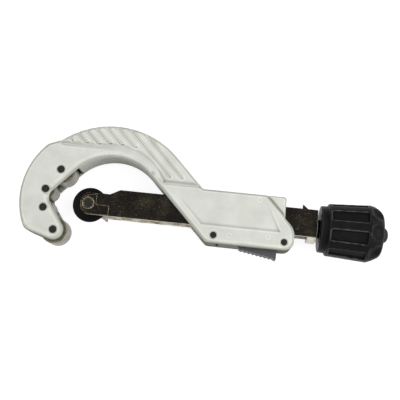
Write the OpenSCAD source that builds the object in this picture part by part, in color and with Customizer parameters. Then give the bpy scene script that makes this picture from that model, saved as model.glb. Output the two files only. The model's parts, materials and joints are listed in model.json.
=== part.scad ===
// Quick-adjust cutter for plastic tube, lying on its back cheek.
// X runs along the feed axis towards the knob, Y points from the lever to the
// handle's top, and Z points out of the front cheek.
// The origin is the centre of the largest tube, seated on the two outer rollers.

/* [Tube and rollers] */
// Diameter of the largest tube that the jaw takes
tube_d = 75; // [66:1:78]
// Diameter of the two outer rollers
roller_d = 22; // [18:0.5:23]
// Diameter of the two inner rollers
small_roller_d = 15; // [12:0.5:16]
// Length of every roller
roller_len = 21.2; // [16:0.1:21.4]
// Diameter of the roller pins
roller_pin_d = 6; // [4:0.5:7]
// Angle of the outer rollers above and below the feed axis
outer_angle = 31; // [28:0.5:33]
// Angle of the inner rollers above and below the feed axis
inner_angle = 8.4; // [8:0.1:9.5]
// How far the inner rollers stand back from the largest tube
inner_setback = 7.7; // [6:0.1:9]

/* [Frame] */
// Thickness of the frame over both cheeks
frame_w = 30; // [29:0.5:34]
// Thickness of the cheeks beside the rollers
cheek_t = 4; // [3:0.1:4.2]
// Inner radius of the hook
jaw_r = 42; // [40:0.5:43]
// Outer radius of the hook
hook_r = 72.5; // [70:0.5:76]
// Outer radius of the nose round the rollers
nose_r = 61.3; // [60:0.1:63]
// Radius of the round end below the lowest roller
lobe_r = 8.5; // [7:0.1:9.5]
// Height of the handle's top above the feed axis
handle_top = 20.8; // [19:0.1:24]
// Depth of the handle's underside below the feed axis
handle_bottom = 22.8; // [22.4:0.1:23.4]
// Where the handle's roof ends along the feed axis
roof_end = 144.8; // [142:0.1:146]
// Where the cheeks end along the feed axis
cheek_end = 153.6; // [152:0.1:155]
// Depth of the ribbed grip below the cheek
grip_depth = 2; // [1:0.1:2.5]
// Depth of the grooves in the grip
groove_depth = 0.8; // [0.4:0.1:1.2]
// Distance between two grooves, square to them
groove_pitch = 7.15; // [6.5:0.05:8]
// Number of grooves in the grip
groove_count = 8; // [6:1:8]

/* [Slide] */
// Width of the channel over both flanges
slide_w = 21; // [20:0.5:22]
// Thickness of the channel's sheet
sheet_t = 2; // [1.6:0.1:2.2]
// Height of the channel's top above the feed axis
slide_top = 13.3; // [12.8:0.1:14.5]
// Depth of the channel's edges below the feed axis
slide_bottom = 9.05; // [8.9:0.05:9.6]
// Where the channel ends at the knob
slide_end = 171.3; // [169:0.1:174]
// Height of the lower nose that holds the wheel
nose_top = 9; // [8:0.1:10]

/* [Cutting wheel] */
// Diameter of the cutting wheel
wheel_d = 29; // [26:0.5:30]
// Thickness of the wheel's disc beside the hub
wheel_t = 3.2; // [2:0.1:4]
// Where the wheel's pin stands along the feed axis
wheel_x = -16.5; // [-17.5:0.1:-15]
// Diameter of the wheel's pin
wheel_pin_d = 6; // [5:0.5:6.5]

/* [Feed screw] */
// Outer diameter of the thread
screw_d = 12; // [10:0.5:12]
// Lead of the single-start thread
screw_pitch = 3; // [3:0.5:4]
// Depth of the thread
thread_depth = 1; // [0.6:0.1:1.1]
// Length of the threaded part
thread_len = 95; // [92:1:105]
// Diameter of the journal in the rear block
journal_d = 8; // [6:0.5:9]
// How far the screw's axis lies below the wheel's
screw_drop = 0.6; // [0:0.1:1]

/* [Knob] */
// Largest diameter of the knob
knob_d = 47.2; // [40:0.2:50]
// Diameter of the knob's smooth collar
collar_d = 38.4; // [34:0.2:39]
// Length of the knob without its boss
knob_len = 51; // [45:0.5:54]
// Number of channels round the knob
flute_count = 8; // [6:1:10]
// Depth of the knob's channels in their middle
flute_depth = 2.2; // [0.8:0.1:2.6]
// Number of finger scallops on the knob's end
scallop_count = 8; // [6:1:10]

/* [Release lever] */
// Width of the thumb lever
lever_w = 16; // [14:0.5:17]
// Where the lever's pivot stands along the feed axis
pivot_x = 88.3; // [88:0.1:89]
// Depth of the lever's pivot below the feed axis
pivot_y = 16.2; // [16:0.1:16.6]
// Diameter of the pivot pin and of the rear cheek pin
lever_pin_d = 5; // [4:0.5:5]
// Where the lever's rear face stands along the feed axis
lever_end = 140.5; // [136:0.5:141]
// Depth of the lever's rear tip below the feed axis
lever_tip = 30.3; // [28:0.1:31]
// Number of teeth under the lever
tooth_count = 9; // [7:1:11]

/* [Clearances] */
// Radial play of a pin in what turns on it
pin_play = 0.05; // [0.02:0.01:0.1]
// Gap between the slide and its guide
guide_play = 0.3; // [0.2:0.05:0.4]
// Gap between pieces that turn side by side
side_play = 0.3; // [0.2:0.05:0.4]
// Gap between the screw's thread and the half nut's teeth
thread_play = 0.25; // [0.2:0.05:0.3]

/* [Hidden] */
$fn = 64;
over = 1;

// Colours of the finishes
paint_colour = [0.83, 0.84, 0.81];
steel_colour = [0.62, 0.61, 0.58];
plated_colour = [0.22, 0.20, 0.16];
bright_colour = [0.72, 0.70, 0.64];
black_colour = [0.10, 0.10, 0.10];
plastic_colour = [0.12, 0.12, 0.13];
lever_colour = [0.20, 0.20, 0.21];
brass_colour = [0.70, 0.58, 0.30];

// Fineness of arcs in outlines: longest chord and largest step
chord_len = 3.2;
step_angle = 13;

// Places of the rollers
outer_reach = tube_d / 2 + roller_d / 2;
inner_reach = tube_d / 2 + small_roller_d / 2 + inner_setback;
upper_outer = outer_reach * [-cos(outer_angle), sin(outer_angle)];
lower_outer = outer_reach * [-cos(outer_angle), -sin(outer_angle)];
upper_inner = inner_reach * [-cos(inner_angle), sin(inner_angle)];
lower_inner = inner_reach * [-cos(inner_angle), -sin(inner_angle)];

// The frame's outline: centres and radii of its arcs
half_w = frame_w / 2;
slot_half = half_w - cheek_t;
jaw_c = [2, -2];
hook_c = [1, -6.6];
nose_c = [-11.7, 2.3];
hook_end_angle = 128.3;
hook_blend_r = 5;
nose_top_r = 9;
nose_top_angle = 137;
nose_foot_r = 8;
nose_foot_angle = 204.8;
throat_r = 7;
throat_out = 10.13;
throat_c = [throat_out + lower_inner[0], 1.74];
foot_r = 5;
rear_foot_r = 8;
shoulder_r = 14;
roof_corner_r = 1.5;
roof_notch_r = 1;
hook_foot_r = 3;
diag = sqrt(2);
arm_outer = hook_c[0] + hook_c[1] + hook_r * diag;
arm_inner = jaw_c[0] + jaw_c[1] + jaw_r * diag;
slope_back = 5.2;
rear_slope = cheek_end - slope_back;

// Widths and depths of the rounded edges
rim_w = 3;
rim_h = 2.6;
edge_w = 1.2;
edge_h = 3;
soft_w = 2;
soft_h = 2;

// Each entry is centre x, centre y, radius, edge width and edge depth.
// A negative radius is an inside corner.
frame_chain = [
    [arm_inner + foot_r * diag + handle_bottom - foot_r, foot_r - handle_bottom, foot_r, soft_w, soft_h],
    [cheek_end - rear_foot_r, rear_foot_r - handle_bottom, rear_foot_r, rim_w, soft_h],
    [cheek_end - shoulder_r, rear_slope - shoulder_r * diag - cheek_end + shoulder_r, shoulder_r,
        soft_w, soft_h],
    [roof_end + roof_notch_r, rear_slope + roof_notch_r * diag - roof_end - roof_notch_r,
        -roof_notch_r, edge_w, edge_h],
    [roof_end - roof_corner_r, handle_top - roof_corner_r, roof_corner_r, edge_w, edge_h],
    [arm_outer + hook_foot_r * diag - handle_top - hook_foot_r, handle_top + hook_foot_r,
        -hook_foot_r, edge_w, edge_h],
    [hook_c[0], hook_c[1], hook_r, edge_w, edge_h],
    concat(hook_c + (hook_r + hook_blend_r) * [cos(hook_end_angle), sin(hook_end_angle)],
        [-hook_blend_r, edge_w, edge_h]),
    concat(nose_c + (nose_r - nose_top_r) * [cos(nose_top_angle), sin(nose_top_angle)],
        [nose_top_r, soft_w, soft_h]),
    [nose_c[0], nose_c[1], nose_r, soft_w, soft_h],
    concat(nose_c + (nose_r - nose_foot_r) * [cos(nose_foot_angle), sin(nose_foot_angle)],
        [nose_foot_r, rim_w, rim_h]),
    [lower_outer[0], lower_outer[1], lobe_r, rim_w, rim_h],
    [throat_c[0], throat_c[1], -throat_r, rim_w, rim_h],
    [jaw_c[0], jaw_c[1], -jaw_r, rim_w, rim_h]
];

// The recessed grip on the hook: its edge at the cheek's face, with the width
// of its sloping wall in the place of the edge width
grip_shift = [-2, 1];
grip_c = jaw_c + grip_shift;
grip_rim = 4;
grip_r = jaw_r + grip_rim;
grip_wall = 5.3;
grip_wall_left = 3;
grip_wall_foot = 2.9;
grip_corner_r = 3.5;
grip_left_r = 4;
grip_left_x = -47;
grip_foot_rise = 0.3;
grip_foot_y = handle_top + grip_foot_rise;
grip_top_rise = 0.6;
grip_top_y = grip_c[1] + grip_r + grip_top_rise;
grip_line = grip_c[0] + grip_c[1] + grip_r * diag;
grip_over = 4;
grip_chain = [
    [grip_line + grip_corner_r * diag - grip_foot_y - grip_corner_r, grip_foot_y + grip_corner_r,
        grip_corner_r, grip_wall_foot, 0],
    [arm_outer - grip_foot_y + grip_over + grip_corner_r, grip_foot_y + grip_corner_r,
        grip_corner_r, grip_wall_foot, 0],
    [hook_c[0], hook_c[1], hook_r + grip_over, 0, 0],
    [grip_left_x + grip_left_r, grip_top_y + grip_left_r, grip_left_r, grip_wall_left, 0],
    [grip_c[0], grip_c[1], -grip_r, grip_wall, 0]
];
groove_first = 15.1;
groove_w = 1.9;
groove_foot_len = 3.2;
groove_foot_gap = 3;
groove_ledge = 1.4;
groove_ledge_y = grip_top_y + grip_wall_left + groove_ledge;
groove_run = 40;

// The slot between the cheeks of the nose
slot_play = 1;
small_slot_play = 1.5;
slot_r = roller_d / 2 + slot_play;
small_slot_r = small_roller_d / 2 + small_slot_play;
slot_mouth = [
    [lower_outer[0] + roller_d, lower_outer[1] - roller_d, slot_play],
    [upper_outer[0] + roller_d + slot_r / 2, small_roller_d * 2 / 3, slot_play]
];
slot_chain = concat(
    [concat(upper_outer, [slot_r]), concat(upper_inner, [small_slot_r])],
    [concat(lower_inner, [small_slot_r]), concat(lower_outer, [slot_r])],
    slot_mouth
);

// The guide for the slide, and the hollow for the lever below it
guide_top = slide_top + guide_play;
guide_bottom = slide_bottom + guide_play;
guide_half = slide_w / 2 + guide_play;
lever_gap = 1.3;
hollow_half = lever_w / 2 + lever_gap;
sill_y = 16.5;
sill_t = 3.5;
floor_t = 1.9;
floor_end = 91;
guide_start = 40;
rear_over = 8;
back_travel = 69;
front_travel = 13;
relief_play = 1.4;
relief_half = wheel_t / 2 + relief_play;

// The shallow panel on each cheek
panel_depth = 0.4;
panel_top_y = 14;
panel_bottom_y = -8.7;
panel_gap = 9.4;
panel_front = arm_inner + panel_gap;
panel_rear_low = 142.3;
panel_rear_high = 130;
block_step = 1.75;

// The slide's outline and its stops
nose_reach = 6.3;
nose_end_x = wheel_x - nose_reach;
nose_corner_r = 7;
step_foot_x = 1.5;
step_head_x = 8;
step_r = 1;
top_tab_back = 12.8;
top_tab_x = slide_end - top_tab_back;
top_tab_len = 4.5;
top_tab_h = 3.2;
low_tab_x = -1.7;
low_tab_len = 4.9;
low_tab_h = 2.7;
flange_in = slide_w / 2 - sheet_t;
web_in = slide_top - sheet_t;
bend_r = 1.2;

// The keeper that is let into the front flange
keeper_t = 0.8;
keeper_r = 6.4;
keeper_tail_x = 0.9;
keeper_low_y = -8.6;
keeper_high_y = -0.6;
keeper_back_x = -10;
keeper_top_y = 8.45;
keeper_play = 0.15;
pin_head_rim = 0.5;
pin_head_r = wheel_pin_d / 2 + pin_head_rim;
ring_r = 5;
ring_w = 0.5;
ring_depth = 0.25;

// The wheel and its spacers
wheel_hub_r = 5.6;
wheel_hub_half = 2.6;
wheel_edge_t = 0.3;
spacer_r = 5;

// The saddle over the screw's front, and the block at its rear
saddle_x = 10;
saddle_len = 9;
saddle_leg_t = 1.1;
saddle_rise = 0.4;
saddle_low_y = slide_bottom - saddle_rise;
block_len = 7.3;
block_low_y = 12.8;
block_corner_r = 3;
rivet_d = 2.6;
rivet_y = 8;
rivet_head_t = 0.2;

// The feed screw along its axis
screw_r = screw_d / 2;
core_r = screw_r - thread_depth;
thread_x = 2;
tip_len = 1;
shoulder_x = slide_end - block_len - side_play;
washer_t = 0.8;
washer_r = 7.4;
boss_t = 1.4;
boss_r = 7.6;
knob_x = slide_end + side_play + washer_t;
rim_x = knob_x + boss_t;
knob_end = rim_x + knob_len;
drive_flat = 0.8;
stud_len = 5;
drive_end = knob_end - stud_len;
stud_d = 6;
nut_h = 5;
nut_r = 6.2;
nut_washer_t = 0.7;
nut_washer_r = 6.9;
stud_end = knob_end + nut_washer_t + nut_h / 2;
thread_sides = 12;
crest_share = 0.22;
lead_share = 0.6;

// The knob's profile and grips
collar_len = 6.4;
collar_step = 2.4;
chamfer_len = 10.8;
body_x = rim_x + collar_len;
body_r = collar_d / 2 + collar_step;
chamfer_x = knob_end - chamfer_len;
corner_r = 0.6;
waist = 0.2;
chamfer_shares = [[0, 1], [0.27, 0.92], [0.51, 0.75], [0.75, 0.5], [0.93, 0.21], [1, 0]];
scallop_share = 0.74;
end_r = 16.4;
round_x = 0.8;
flute_angle = 24;
flute_round = 1.4;
flute_lead = 2.2;
flute_tail = 2.4;
flute_start = body_x + flute_lead;
flute_stop = chamfer_x - flute_tail;
flute_phase = -17.5;
scallop_phase = -3;
scallop_w = 13.4;
scallop_depth = 2.4;
scallop_back = 6.2;
scallop_mid_x = knob_end - scallop_back;

// The release lever
hub_r = 4.2;
lever_low_y = 22.6;
lever_step_x = 108.5;
wedge_x = 110;
wedge_y = 24.2;
tooth_h = 1.2;
floor_gap = 1.5;
lever_rear_top = 17.8;
lever_front_x = 71.8;
lever_seat_y = 9.2;
lever_nose_y = 12.4;
lever_round = 1;
nut_x = 71.2;
nut_len = 6.2;
nut_w = 12;
nut_top_y = 3.9;
nut_peg_r = 1.5;
nut_peg_len = 2.2;
spring_slot_half = 3.4;
spring_slot_r = 4.7;
press_angle = 8;

// The torsion spring round the pivot pin
wire_d = 0.8;
coil_r = 3.4;
coil_turns = 3.5;
coil_pitch = 1.2;
coil_steps = 12;
wire_sides = 6;
pin_inset = 0.3;
rear_pin_back = 8.1;
rear_pin_at = [cheek_end - rear_pin_back, -pivot_y];
dimple_r = 0.8;
dimple_depth = 0.6;

// Angle, from 0 up to 360
function turn(a) = a - 360 * floor(a / 360);

// Direction of the outward normal where two arcs of an outline share a tangent
function clamped(v) = max(-1, min(1, v));
function tangent_at(a, b) = atan2(b[1] - a[1], b[0] - a[0])
    - acos(clamped((a[2] - b[2]) / norm([b[0] - a[0], b[1] - a[1]])));

function sweep_of(from, to, r) = r > 0 ? turn(to - from) : -turn(from - to);
function steps_of(sweep, r) = max(
    ceil(abs(sweep) * abs(r) * PI / 180 / chord_len), ceil(abs(sweep) / step_angle), 1);

// How far an edge has turned in: share 0 is the upright wall, share 1 the face
function inset_at(arc, share) = arc[3] * (1 - cos(90 * share));
function drop_at(arc, share) = arc[4] * (1 - sin(90 * share));

// Points of an outline, each with its drop below the face
function chain_points(chain, share) = [
    for (i = [0:len(chain) - 1])
        let (
            last = chain[(i + len(chain) - 1) % len(chain)],
            arc = chain[i],
            next = chain[(i + 1) % len(chain)],
            from = tangent_at(last, arc),
            to = tangent_at(arc, next),
            sweep = sweep_of(from, to, arc[2]),
            steps = steps_of(sweep, arc[2]),
            joined = norm([arc[0] - next[0] + (arc[2] - next[2]) * cos(to),
                arc[1] - next[1] + (arc[2] - next[2]) * sin(to)]) < wire_d / 10
        )
        for (j = [0:joined ? steps - 1 : steps])
            let (a = from + sweep * j / steps, r = arc[2] - inset_at(arc, share))
            [arc[0] + r * cos(a), arc[1] + r * sin(a), drop_at(arc, share)]
];
function flat_chain(chain) = [for (c = chain) [c[0], c[1], c[2], 0, 0]];
function chain_outline(chain) = [for (p = chain_points(flat_chain(chain), 0)) [p[0], p[1]]];

// Triangles that fill an outline, found by clipping one corner after another
function left_of(a, b, p) = (b[0] - a[0]) * (p[1] - a[1]) - (b[1] - a[1]) * (p[0] - a[0]);
function within(p, a, b, c) = left_of(a, b, p) >= 0 && left_of(b, c, p) >= 0 && left_of(c, a, p) >= 0;
function corner(left, i) = [for (k = [-1:1]) left[(i + k + len(left)) % len(left)]];
function is_ear(ring, left, i) = let (
        t = corner(left, i),
        a = ring[t[0]],
        b = ring[t[1]],
        c = ring[t[2]]
    ) left_of(a, b, c) > 0
        && len([for (k = left) if (k != t[0] && k != t[1] && k != t[2] && within(ring[k], a, b, c)) k]) == 0;
function next_ear(ring, left, i) = i >= len(left) - 1 || is_ear(ring, left, i)
    ? i
    : next_ear(ring, left, i + 1);
function ears(ring, left, done = []) = len(left) == 3
    ? concat(done, [left])
    : let (i = next_ear(ring, left, 0))
        ears(ring, [for (k = [0:len(left) - 1]) if (k != i) left[k]], concat(done, [corner(left, i)]));

// A closed solid through rings of as many points each, from the lowest up
module ring_solid(rings) {
    n = len(rings[0]);
    points = [for (ring = rings) for (p = ring) p];
    walls = [
        for (k = [0:len(rings) - 2]) for (i = [0:n - 1])
            let (a = k * n + i, b = k * n + (i + 1) % n)
            for (face = [[a, a + n, b + n], [a, b + n, b]]) face
    ];
    bottom = ears(rings[0], [for (i = [0:n - 1]) i]);
    top = [for (t = bottom) [for (i = [2:-1:0]) t[i] + (len(rings) - 1) * n]];
    polyhedron(points, concat(walls, bottom, top));
}

// A plate with the frame's rounded edges on both faces
module rounded_plate(chain, half) {
    shares = [1, 0.5, 0];
    lower = [for (s = shares) [for (p = chain_points(chain, s)) [p[0], p[1], p[2] - half]]];
    upper = [for (s = [0, 0.5, 1]) [for (p = chain_points(chain, s)) [p[0], p[1], half - p[2]]]];
    ring_solid(concat(lower, upper));
}

// One recess of the ribbed grip, open outwards
module grip_recess() {
    floor_ring = [for (p = chain_points(grip_chain, 1)) [p[0], p[1], half_w - grip_depth]];
    face_ring = [for (p = chain_points(grip_chain, 0)) [p[0], p[1], half_w]];
    over_ring = [for (p = face_ring) [p[0], p[1], half_w + over]];
    ring_solid([floor_ring, face_ring, over_ring]);
}

// Where a groove at the given place ends, above the foot of the sloping wall
function groove_reach(s) = let (
        reach = grip_r + grip_wall + over,
        x0 = s - grip_c[0] - grip_c[1],
        left = 2 * reach * reach - x0 * x0
    ) left < 0 ? grip_foot_y + grip_wall_foot + groove_foot_gap
        : max(groove_ledge_y, grip_c[1] + (x0 + sqrt(left)) / 2);
function on_arm(s) = groove_reach(s) < grip_top_y;

module vee(length) {
    rotate([90, 0, 90])
        linear_extrude(length)
            polygon([[-groove_w / 2, over], [-groove_w / 2, 0], [0, -groove_depth],
                [groove_w / 2, 0], [groove_w / 2, over]]);
}

module grip_grooves() {
    for (k = [0:groove_count - 1]) {
        s = groove_first + k * groove_pitch * diag;
        y = groove_reach(s);
        translate([s - y, y, half_w - grip_depth])
            rotate([0, 0, 135])
                vee(on_arm(s) ? groove_run + groove_run : groove_run);
        if (!on_arm(s) && k > 0)
            translate([s - y, y, half_w - grip_depth])
                vee(groove_foot_len);
    }
}

// The panel's floor slopes from nothing at its top edge to its full depth below
module cheek_panel() {
    translate([0, panel_top_y, half_w])
        rotate([atan(panel_depth / (panel_top_y - panel_bottom_y)), 0, 0])
            linear_extrude(over)
                polygon([
                    [panel_front - panel_top_y, 0],
                    [panel_front - panel_bottom_y, panel_bottom_y - panel_top_y],
                    [panel_rear_low, panel_bottom_y - panel_top_y],
                    [panel_rear_high, 0]
                ]);
}

// The rear block lies lower than the cheek that is cast over it
module block_cut() {
    high = handle_top + over;
    translate([0, 0, half_w - block_step])
        linear_extrude(block_step + over)
            polygon([
                [rear_slope - high, high],
                [roof_end + over / 2, rear_slope - roof_end - over / 2],
                [roof_end + over / 2, high]
            ]);
}

module both_faces() {
    children();
    mirror([0, 0, 1])
        children();
}

module cross_bore(at, r) {
    translate([at[0], at[1], -half_w - over])
        cylinder(r = r, h = frame_w + over + over);
}

module guide_cuts() {
    translate([guide_start, -guide_bottom, -guide_half])
        cube([cheek_end + rear_over - guide_start, guide_top + guide_bottom, guide_half + guide_half]);
    translate([guide_start, 0, -relief_half])
        cube([wheel_x + wheel_d / 2 + back_travel + over + over - guide_start,
            wheel_d / 2 + over, relief_half + relief_half]);
    inner_line = arm_inner + sill_t * diag;
    floor_y = floor_t - handle_bottom;
    translate([0, 0, -hollow_half])
        linear_extrude(hollow_half + hollow_half)
            polygon([
                [guide_start, over - guide_bottom],
                [guide_start, -sill_y],
                [inner_line + sill_y, -sill_y],
                [inner_line - floor_y, floor_y],
                [floor_end, floor_y],
                [floor_end, -handle_bottom - rear_over],
                [cheek_end + rear_over, -handle_bottom - rear_over],
                [cheek_end + rear_over, over - guide_bottom]
            ]);
}

module frame() {
    color(paint_colour)
        difference() {
            rounded_plate(frame_chain, half_w);
            both_faces() grip_recess();
            both_faces() grip_grooves();
            both_faces() cheek_panel();
            both_faces() block_cut();
            translate([0, 0, -slot_half])
                linear_extrude(slot_half + slot_half)
                    polygon(chain_outline(slot_chain));
            guide_cuts();
            for (p = [upper_outer, upper_inner, lower_inner, lower_outer])
                cross_bore(p, roller_pin_d / 2 + pin_play / 2);
            cross_bore([pivot_x, -pivot_y], lever_pin_d / 2 + pin_play / 2);
            cross_bore(rear_pin_at, lever_pin_d / 2 + pin_play / 2);
        }
}

// Pins and rollers
module plain_pin(at, d) {
    color(black_colour)
        translate([at[0], at[1], pin_inset - half_w])
            cylinder(d = d, h = frame_w - pin_inset - pin_inset);
}

module dimpled_pin(at) {
    color(black_colour)
        difference() {
            translate([at[0], at[1], pin_inset - half_w])
                cylinder(d = lever_pin_d, h = frame_w - pin_inset - pin_inset);
            for (s = [-1, 1])
                translate([at[0], at[1], s * (half_w - pin_inset)])
                    cylinder(r1 = s > 0 ? 0 : dimple_r, r2 = s > 0 ? dimple_r : 0,
                        h = dimple_depth + dimple_depth, center = true);
        }
}

module roller(at, d) {
    edge = roller_pin_d / 12;
    color(steel_colour)
        translate([at[0], at[1], 0])
            rotate_extrude()
                polygon([
                    [roller_pin_d / 2 + pin_play, -roller_len / 2],
                    [d / 2 - edge, -roller_len / 2],
                    [d / 2, edge - roller_len / 2],
                    [d / 2, roller_len / 2 - edge],
                    [d / 2 - edge, roller_len / 2],
                    [roller_pin_d / 2 + pin_play, roller_len / 2]
                ]);
}

module upper_outer_pin() {
    plain_pin(upper_outer, roller_pin_d);
}

module upper_inner_pin() {
    plain_pin(upper_inner, roller_pin_d);
}

module lower_inner_pin() {
    plain_pin(lower_inner, roller_pin_d);
}

module lower_outer_pin() {
    plain_pin(lower_outer, roller_pin_d);
}

module upper_outer_roller() {
    roller(upper_outer, roller_d);
}

module upper_inner_roller() {
    roller(upper_inner, small_roller_d);
}

module lower_inner_roller() {
    roller(lower_inner, small_roller_d);
}

module lower_outer_roller() {
    roller(lower_outer, roller_d);
}

module lever_pivot_pin() {
    dimpled_pin([pivot_x, -pivot_y]);
}

module rear_cheek_pin() {
    dimpled_pin(rear_pin_at);
}

// Side outline of the channel
slide_chain = [
    [nose_end_x + nose_corner_r, nose_corner_r - slide_bottom, nose_corner_r],
    [slide_end - step_r, step_r - slide_bottom, step_r],
    [slide_end - step_r, slide_top - step_r, step_r],
    [step_head_x + step_r, slide_top - step_r, step_r],
    [step_foot_x - step_r, nose_top + step_r, -step_r],
    [nose_end_x + nose_corner_r, nose_top - nose_corner_r, nose_corner_r]
];

// The keeper's outline, grown by the given gap
module keeper_shape(gap) {
    translate([0, 0, slide_w / 2 - keeper_t - gap])
        linear_extrude(keeper_t + gap + over)
            polygon([
                [keeper_back_x + gap, keeper_high_y + gap],
                [keeper_back_x + gap, keeper_top_y + gap],
                for (a = [100:20:250])
                    [wheel_x + (keeper_r + gap) * cos(a), (keeper_r + gap) * sin(a)],
                [wheel_x, keeper_low_y - gap],
                [keeper_tail_x + gap, keeper_low_y - gap],
                [keeper_tail_x + gap, keeper_high_y + gap]
            ]);
}

module slide_channel() {
    color(plated_colour)
        difference() {
            union() {
                translate([0, 0, -slide_w / 2])
                    linear_extrude(slide_w)
                        polygon(chain_outline(slide_chain));
                translate([0, 0, flange_in])
                    linear_extrude(sheet_t)
                        polygon([
                            [top_tab_x, slide_top - sheet_t / 2],
                            [top_tab_x + top_tab_len, slide_top - sheet_t / 2],
                            [top_tab_x + top_tab_len, slide_top],
                            [top_tab_x + sheet_t / 4, slide_top + top_tab_h],
                            [top_tab_x, slide_top + top_tab_h]
                        ]);
                translate([0, 0, -slide_w / 2])
                    linear_extrude(sheet_t)
                        polygon([
                            [low_tab_x, sheet_t / 2 - slide_bottom],
                            [low_tab_x - low_tab_len, sheet_t / 2 - slide_bottom],
                            [low_tab_x - low_tab_len, -slide_bottom],
                            [low_tab_x - sheet_t / 4, -slide_bottom - low_tab_h],
                            [low_tab_x, -slide_bottom - low_tab_h]
                        ]);
            }
            translate([nose_end_x - over, -slide_bottom - low_tab_h - over, -flange_in])
                cube([slide_end - nose_end_x + over + over, web_in + slide_bottom + low_tab_h + over,
                    flange_in + flange_in]);
            keeper_pocket();
            cross_bore([wheel_x, 0], wheel_pin_d / 2 + pin_play / 2);
            for (x = rivet_places)
                cross_bore([x, rivet_y], rivet_d / 2 + pin_play / 2);
        }
}
rivet_places = [slide_end - block_len / 2];

module keeper_pocket() {
    keeper_shape(keeper_play);
}

module pin_keeper() {
    color(plated_colour)
        difference() {
            intersection() {
                keeper_shape(0);
                translate([nose_end_x, -slide_w, 0])
                    cube([slide_end, slide_w + slide_w, slide_w / 2]);
            }
            translate([wheel_x, 0, 0])
                cylinder(r = pin_head_r + pin_play / 2, h = slide_w);
            translate([wheel_x, 0, slide_w / 2 - ring_depth])
                difference() {
                    cylinder(r = ring_r, h = over);
                    cylinder(r = ring_r - ring_w, h = over);
                }
        }
}

module wheel_pin() {
    head_z = slide_w / 2 - keeper_t;
    color(black_colour)
        translate([wheel_x, 0, 0])
            union() {
                translate([0, 0, -slide_w / 2])
                    cylinder(d = wheel_pin_d, h = slide_w);
                translate([0, 0, head_z])
                    cylinder(r = pin_head_r, h = keeper_t);
            }
}

module wheel_spacers() {
    color(steel_colour)
        for (s = [0, 1])
            mirror([0, 0, s])
                translate([wheel_x, 0, 0])
                    rotate_extrude()
                        polygon([
                            [wheel_pin_d / 2 + pin_play / 2, wheel_hub_half + side_play],
                            [spacer_r, wheel_hub_half + side_play],
                            [spacer_r, flange_in],
                            [wheel_pin_d / 2 + pin_play / 2, flange_in]
                        ]);
}

module cutting_wheel() {
    bore_r = wheel_pin_d / 2 + pin_play;
    color(black_colour)
        translate([wheel_x, 0, 0])
            rotate_extrude()
                polygon([
                    [bore_r, -wheel_hub_half],
                    [wheel_hub_r, -wheel_hub_half],
                    [wheel_hub_r, -wheel_t / 2],
                    [wheel_hub_r + wheel_t, -wheel_t / 2],
                    [wheel_d / 2, -wheel_edge_t / 2],
                    [wheel_d / 2, wheel_edge_t / 2],
                    [wheel_hub_r + wheel_t, wheel_t / 2],
                    [wheel_hub_r, wheel_t / 2],
                    [wheel_hub_r, wheel_hub_half],
                    [bore_r, wheel_hub_half]
                ]);
}

// A steel bridge over the screw's front end, open below for the half nut
module screw_saddle() {
    inner = flange_in - saddle_leg_t;
    color(bright_colour)
        difference() {
            translate([saddle_x, -saddle_low_y, -flange_in])
                cube([saddle_len, saddle_low_y + web_in, flange_in + flange_in]);
            axial(saddle_x - over, screw_r + pin_play + pin_play, saddle_len + over + over);
            translate([saddle_x - over, -saddle_low_y - over, -inner])
                cube([saddle_len + over + over, saddle_low_y + over, inner + inner]);
        }
}

// The rear block carries the screw's journal between the flanges
module bearing_block() {
    color(bright_colour)
        difference() {
            translate([slide_end - block_len, 0, 0])
                rotate([90, 0, 90])
                    linear_extrude(block_len)
                        polygon(concat(
                            [[web_in, -flange_in], [web_in, flange_in]],
                            [for (a = [90:15:180])
                                [block_corner_r - block_low_y + block_corner_r * cos(a),
                                    flange_in - block_corner_r + block_corner_r * sin(a)]],
                            [for (a = [180:15:270])
                                [block_corner_r - block_low_y + block_corner_r * cos(a),
                                    block_corner_r - flange_in + block_corner_r * sin(a)]]
                        ));
            axial(slide_end - block_len - over, journal_d / 2 + pin_play, block_len + over + over);
            for (x = rivet_places)
                cross_bore([x, rivet_y], rivet_d / 2 + pin_play / 2);
        }
}

module block_rivets() {
    color(bright_colour)
        for (x = rivet_places)
            translate([x, rivet_y, -slide_w / 2])
                cylinder(d = rivet_d, h = slide_w + rivet_head_t);
}

// Points along the thread's ridge: foot, crest, crest and foot of its profile
function ridge_at(a, x, play, inner) = let (
        lead = screw_pitch * lead_share,
        crest = screw_pitch * crest_share
    ) [
        [x - play, inner * cos(a), inner * sin(a)],
        [x - play, (screw_r + play) * cos(a), (screw_r + play) * sin(a)],
        [x + crest + play, (screw_r + play) * cos(a), (screw_r + play) * sin(a)],
        [x + lead + crest + play, inner * cos(a), inner * sin(a)]
    ];

// The ridge winds as a right-hand thread about the X axis
module thread_ridge(x, length, play, inner) {
    turns = length / screw_pitch;
    steps = floor(turns * thread_sides);
    rings = [
        for (i = [0:steps])
            ridge_at(360 * i / thread_sides + thread_turn_at(x), x + screw_pitch * i / thread_sides,
                play, inner)
    ];
    n = len(rings[0]);
    points = [for (ring = rings) for (p = ring) p];
    walls = [
        for (k = [0:steps - 1]) for (i = [0:n - 1])
            let (a = k * n + i, b = k * n + (i + 1) % n)
            for (face = [[a, b + n, a + n], [a, b, b + n]]) face
    ];
    start = [for (i = [0:n - 1]) n - 1 - i];
    finish = [for (i = [0:n - 1]) steps * n + i];
    polyhedron(points, concat(walls, [start], [finish]));
}
function thread_turn_at(x) = 360 * (x - thread_x) / screw_pitch;

module axial(x, r, length) {
    translate([x, -screw_drop, 0])
        rotate([0, 90, 0])
            cylinder(r = r, h = length);
}

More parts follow.
